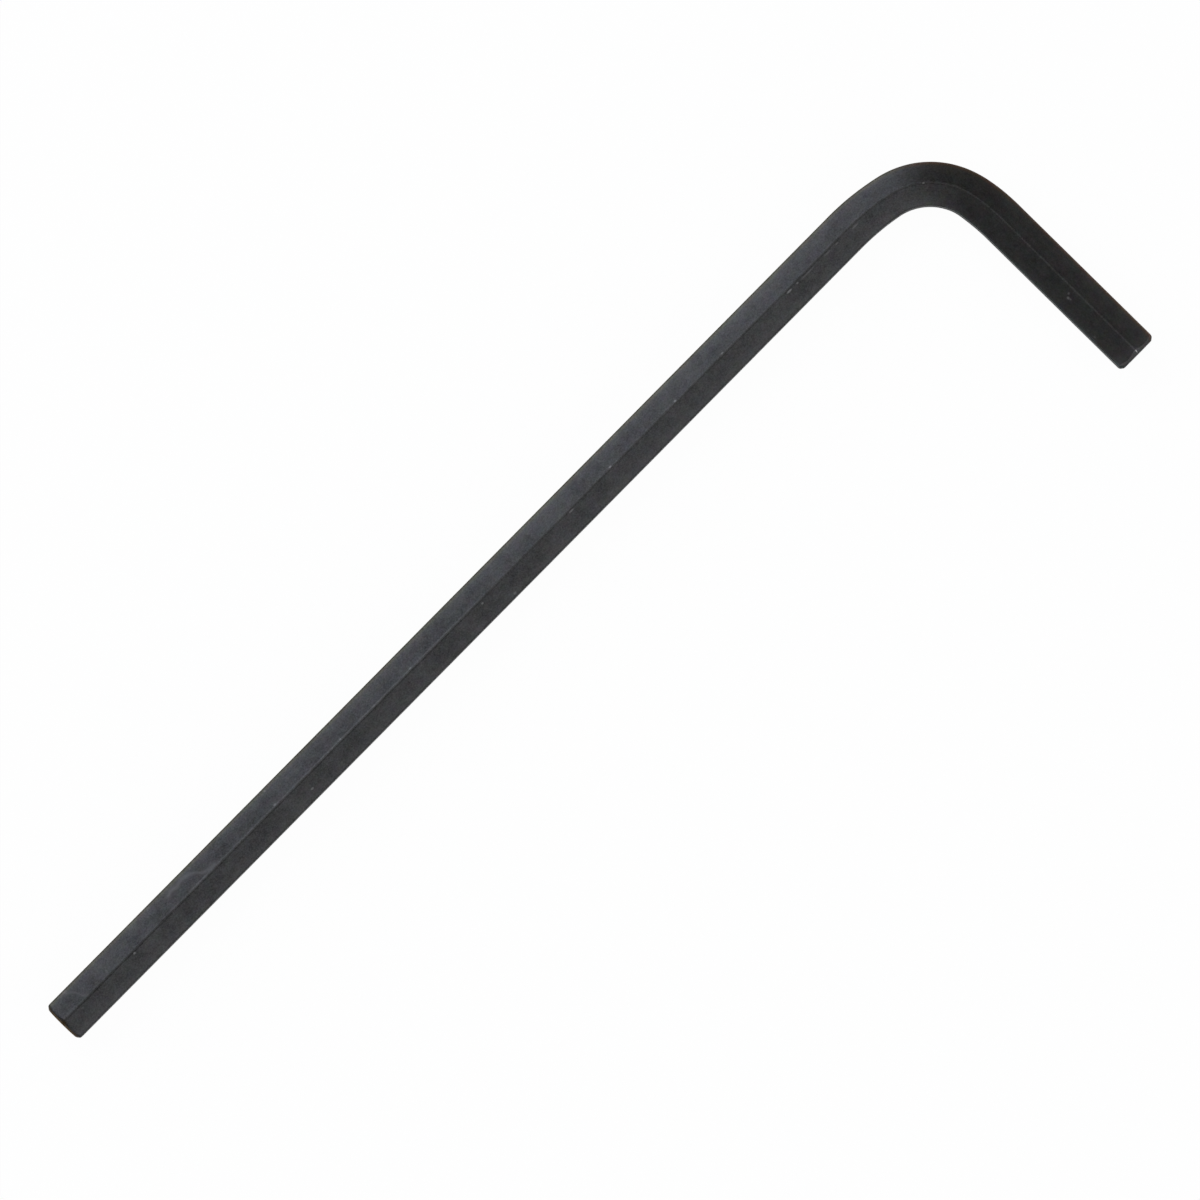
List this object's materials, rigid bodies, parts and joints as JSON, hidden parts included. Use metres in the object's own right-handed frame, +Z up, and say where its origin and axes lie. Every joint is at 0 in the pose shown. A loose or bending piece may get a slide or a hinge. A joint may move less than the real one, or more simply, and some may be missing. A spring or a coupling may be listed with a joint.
{
  "type": "hex key",
  "caption": "Long-arm L-shaped hexagon key of drawn steel bar with a black oxide finish, chamfered at both tips.",
  "frame": {"origin": "middle of the bounding box, on the surface the key lies on", "axes": "+X along the long arm, from its tip towards the bend; -Y along the short arm, from the bend to its tip; +Z up, square to the plane of both arms"},
  "size_m": [0.11, 0.0278, 0.0045],
  "materials": {
    "bar": "satin"
  },
  "bodies": {
    "root": {"hex_key": "bar"}
  },
  "joints": []
}
